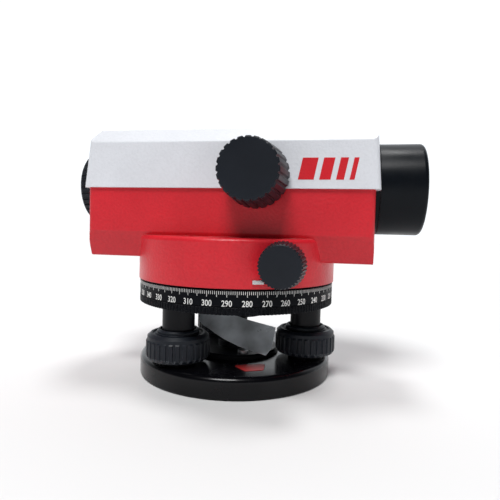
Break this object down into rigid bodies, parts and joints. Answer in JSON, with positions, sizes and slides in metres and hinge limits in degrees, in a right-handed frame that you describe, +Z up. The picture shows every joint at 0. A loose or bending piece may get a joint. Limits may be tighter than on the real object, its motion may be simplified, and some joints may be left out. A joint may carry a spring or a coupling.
{
  "type": "automatic level",
  "caption": "Self-levelling surveying telescope on a three-screw base, with a graduated circle, focusing and slow-motion knobs, turning eyepiece and compensator.",
  "frame": {"origin": "centre of the tripod thread on the underside of the base, where the instrument stands on the tripod head", "axes": "+Z up along the vertical axis, +X along the line of sight out of the objective, -Y towards the focusing knob"},
  "size_m": [0.1814, 0.1246, 0.1286],
  "materials": {
    "base_gloss": "gloss black stove enamel",
    "inlay_red": "red index enamel",
    "brass": "machined",
    "black_metal": "satin black",
    "steel": "turned and ground",
    "leaf_steel": "cold-rolled spring steel",
    "circle_black": "satin black with white engraving",
    "paint_red": "fine wrinkle enamel, red",
    "paint_white": "fine wrinkle enamel, white",
    "black_plastic": "moulded, satin",
    "barrel_black": "black anodised, satin",
    "inner_black": "flat black anodised",
    "inner_alloy": "as cast",
    "lens_glass": "coated optical glass",
    "vial_glass": "spirit-filled vial",
    "mirror": "front-surface mirror"
  },
  "bodies": {
    "base": {"base_plate": "base_gloss", "base_inlay": "inlay_red", "tripod_bush": "brass", "socket_caps": "black_metal", "centre_boss": "black_metal", "boss_screws": "steel"},
    "stage": {"centre_stud": "black_metal"},
    "tribrach": {"tribrach_plate": "black_metal", "foot_screw_sleeves": "black_metal", "foot_screw_bushes": "brass", "axis_sleeve": "steel", "tension_leaf": "leaf_steel", "leaf_screws": "steel"},
    "clutch": {"worm_wheel": "brass"},
    "circle": {"horizontal_circle": "circle_black"},
    "alidade": {"housing": "paint_red", "top_cover": "paint_white", "cover_screws": "steel", "vertical_spindle": "steel", "spindle_screws": "steel", "drive_bushes": "black_plastic", "focus_bush": "black_plastic", "circle_pointer": "steel", "objective_barrel": "barrel_black", "objective_flint": "lens_glass", "objective_crown": "lens_glass", "objective_retainer": "barrel_black", "telescope_tube": "inner_black", "eyepiece_mount": "inner_black", "reticle_cell": "brass", "reticle_glass": "lens_glass", "compensator_frame": "inner_alloy", "fixed_prisms": "lens_glass", "damper_magnets": "steel", "level_cup": "black_metal", "level_vial": "vial_glass", "mirror_bracket": "black_metal"},
    "drive": {"drive_shaft": "steel", "drive_worm": "steel", "drive_knob_near": "black_plastic", "drive_knob_far": "black_plastic"},
    "focus_drive": {"focus_knob": "black_plastic", "focus_pinion": "brass"},
    "focus_cell": {"focus_carriage": "inner_black", "focus_lens": "lens_glass", "focus_rack": "brass"},
    "eyepiece_ring": {"eyepiece_ring": "black_plastic"},
    "eyepiece_cell": {"eyepiece_cell": "inner_black", "eyepiece_lenses": "lens_glass"},
    "pendulum": {"pendulum_arm": "inner_alloy", "pendulum_mirror": "mirror"},
    "level_mirror": {"mirror_flap": "black_metal", "mirror_glass": "mirror"},
    "foot_a": {"foot_knob_a": "black_plastic", "foot_spindle_a": "steel"},
    "foot_b": {"foot_knob_b": "black_plastic", "foot_spindle_b": "steel"},
    "foot_c": {"foot_knob_c": "black_plastic", "foot_spindle_c": "steel"}
  },
  "joints": [
    {"name": "foot_a_turn", "type": "hinge", "parent": "base", "child": "foot_a", "pos_m": [-0.02259, -0.03206, 0.007], "axis": [0, 0, 1], "range_deg": [-321, 321]},
    {"name": "foot_b_turn", "type": "hinge", "parent": "base", "child": "foot_b", "pos_m": [0.03906, -0.00353, 0.007], "axis": [0, 0, 1], "range_deg": [-321, 321]},
    {"name": "foot_c_turn", "type": "hinge", "parent": "base", "child": "foot_c", "pos_m": [-0.01647, 0.03559, 0.007], "axis": [0, 0, 1], "range_deg": [-556, 556]},
    {"name": "tilt_across", "type": "hinge", "parent": "base", "child": "stage", "pos_m": [0, 0, 0.007], "axis": [-0.4199, 0.9076, 0], "range_deg": [-1.5, 1.5]},
    {"name": "tilt_along", "type": "hinge", "parent": "stage", "child": "tribrach", "pos_m": [0.00823, -0.0178, 0.007], "axis": [0.9076, 0.4199, 0], "range_deg": [-1.5, 1.5]},
    {"name": "circle_turn", "type": "hinge", "parent": "tribrach", "child": "circle", "pos_m": [0, 0, 0.045], "axis": [0, 0, 1], "continuous": true},
    {"name": "clutch_slip", "type": "hinge", "parent": "tribrach", "child": "clutch", "pos_m": [0, 0, 0.0623], "axis": [0, 0, 1], "continuous": true},
    {"name": "azimuth_turn", "type": "hinge", "parent": "clutch", "child": "alidade", "pos_m": [0, 0, 0.06], "axis": [0, 0, 1], "continuous": true},
    {"name": "drive_turn", "type": "hinge", "parent": "alidade", "child": "drive", "pos_m": [0.031, 0, 0.0623], "axis": [0, 1, 0], "continuous": true},
    {"name": "focus_turn", "type": "hinge", "parent": "alidade", "child": "focus_drive", "pos_m": [0.0153, -0.015, 0.1036], "axis": [0, 1, 0], "range_deg": [-153, 153]},
    {"name": "focus_slide", "type": "slide", "parent": "alidade", "child": "focus_cell", "axis": [1, 0, 0], "range_m": [-0.008, 0.008]},
    {"name": "eyepiece_turn", "type": "hinge", "parent": "alidade", "child": "eyepiece_ring", "pos_m": [-0.08, 0, 0.1], "axis": [1, 0, 0], "range_deg": [-150.2, 150.2]},
    {"name": "eyepiece_slide", "type": "slide", "parent": "alidade", "child": "eyepiece_cell", "axis": [1, 0, 0], "range_m": [-0.001, 0.001]},
    {"name": "pendulum_swing", "type": "hinge", "parent": "alidade", "child": "pendulum", "pos_m": [-0.0435, 0, 0.115], "axis": [0, 1, 0], "range_deg": [-0.25, 0.25]},
    {"name": "mirror_fold", "type": "hinge", "parent": "alidade", "child": "level_mirror", "pos_m": [0.0055, 0.04, 0.0849], "axis": [0, 1, 0], "range_deg": [-44, 40]}
  ],
  "couplings": [
    {"joint": "foot_a_turn", "follows": "tilt_across", "ratio": 213.41},
    {"joint": "foot_b_turn", "follows": "tilt_across", "ratio": -213.41},
    {"joint": "foot_c_turn", "follows": "tilt_along", "ratio": 369.64},
    {"joint": "drive_turn", "follows": "azimuth_turn", "ratio": 52},
    {"joint": "focus_turn", "follows": "focus_slide", "rad_per_m": -333.33},
    {"joint": "eyepiece_turn", "follows": "eyepiece_slide", "rad_per_m": 2618}
  ]
}
